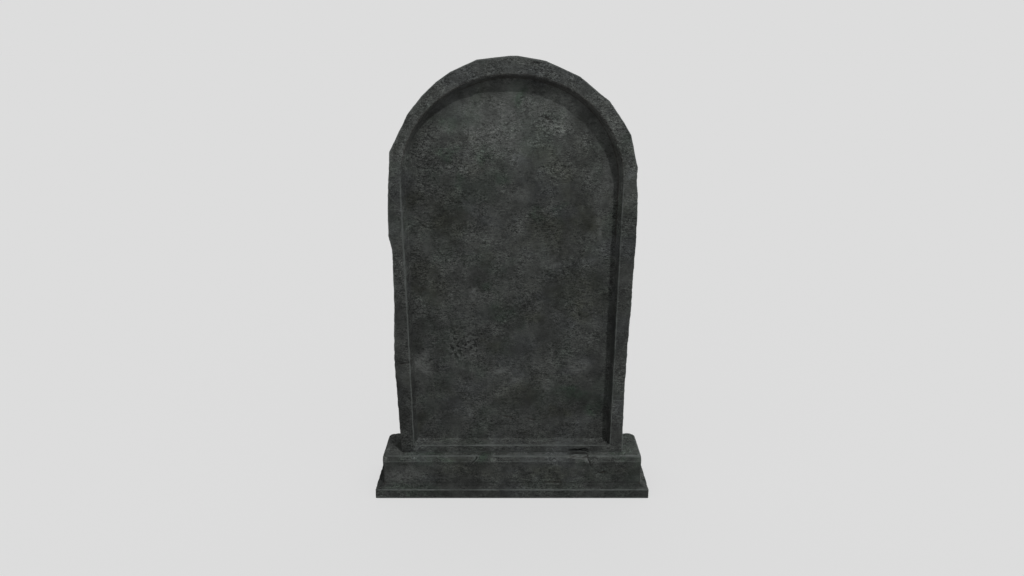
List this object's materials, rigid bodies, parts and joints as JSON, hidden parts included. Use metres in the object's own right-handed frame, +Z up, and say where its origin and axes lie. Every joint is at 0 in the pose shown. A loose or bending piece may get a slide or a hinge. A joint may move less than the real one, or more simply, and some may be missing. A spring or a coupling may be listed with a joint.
{
  "type": "headstone",
  "caption": "Upright headstone: an arched stone tablet with a raised rim around a sunken panel, standing on a moulded base.",
  "frame": {"origin": "on the ground, under the middle of the base", "axes": "+Z up, -Y the carved front, +X to the viewer's right"},
  "size_m": [0.7538, 0.167, 1.1592],
  "materials": {
    "tablet_stone": "weathered, fine grained, matt",
    "base_stone": "weathered, fine grained, matt"
  },
  "bodies": {
    "root": {"tablet": "tablet_stone", "moulded_base": "base_stone"}
  },
  "joints": []
}
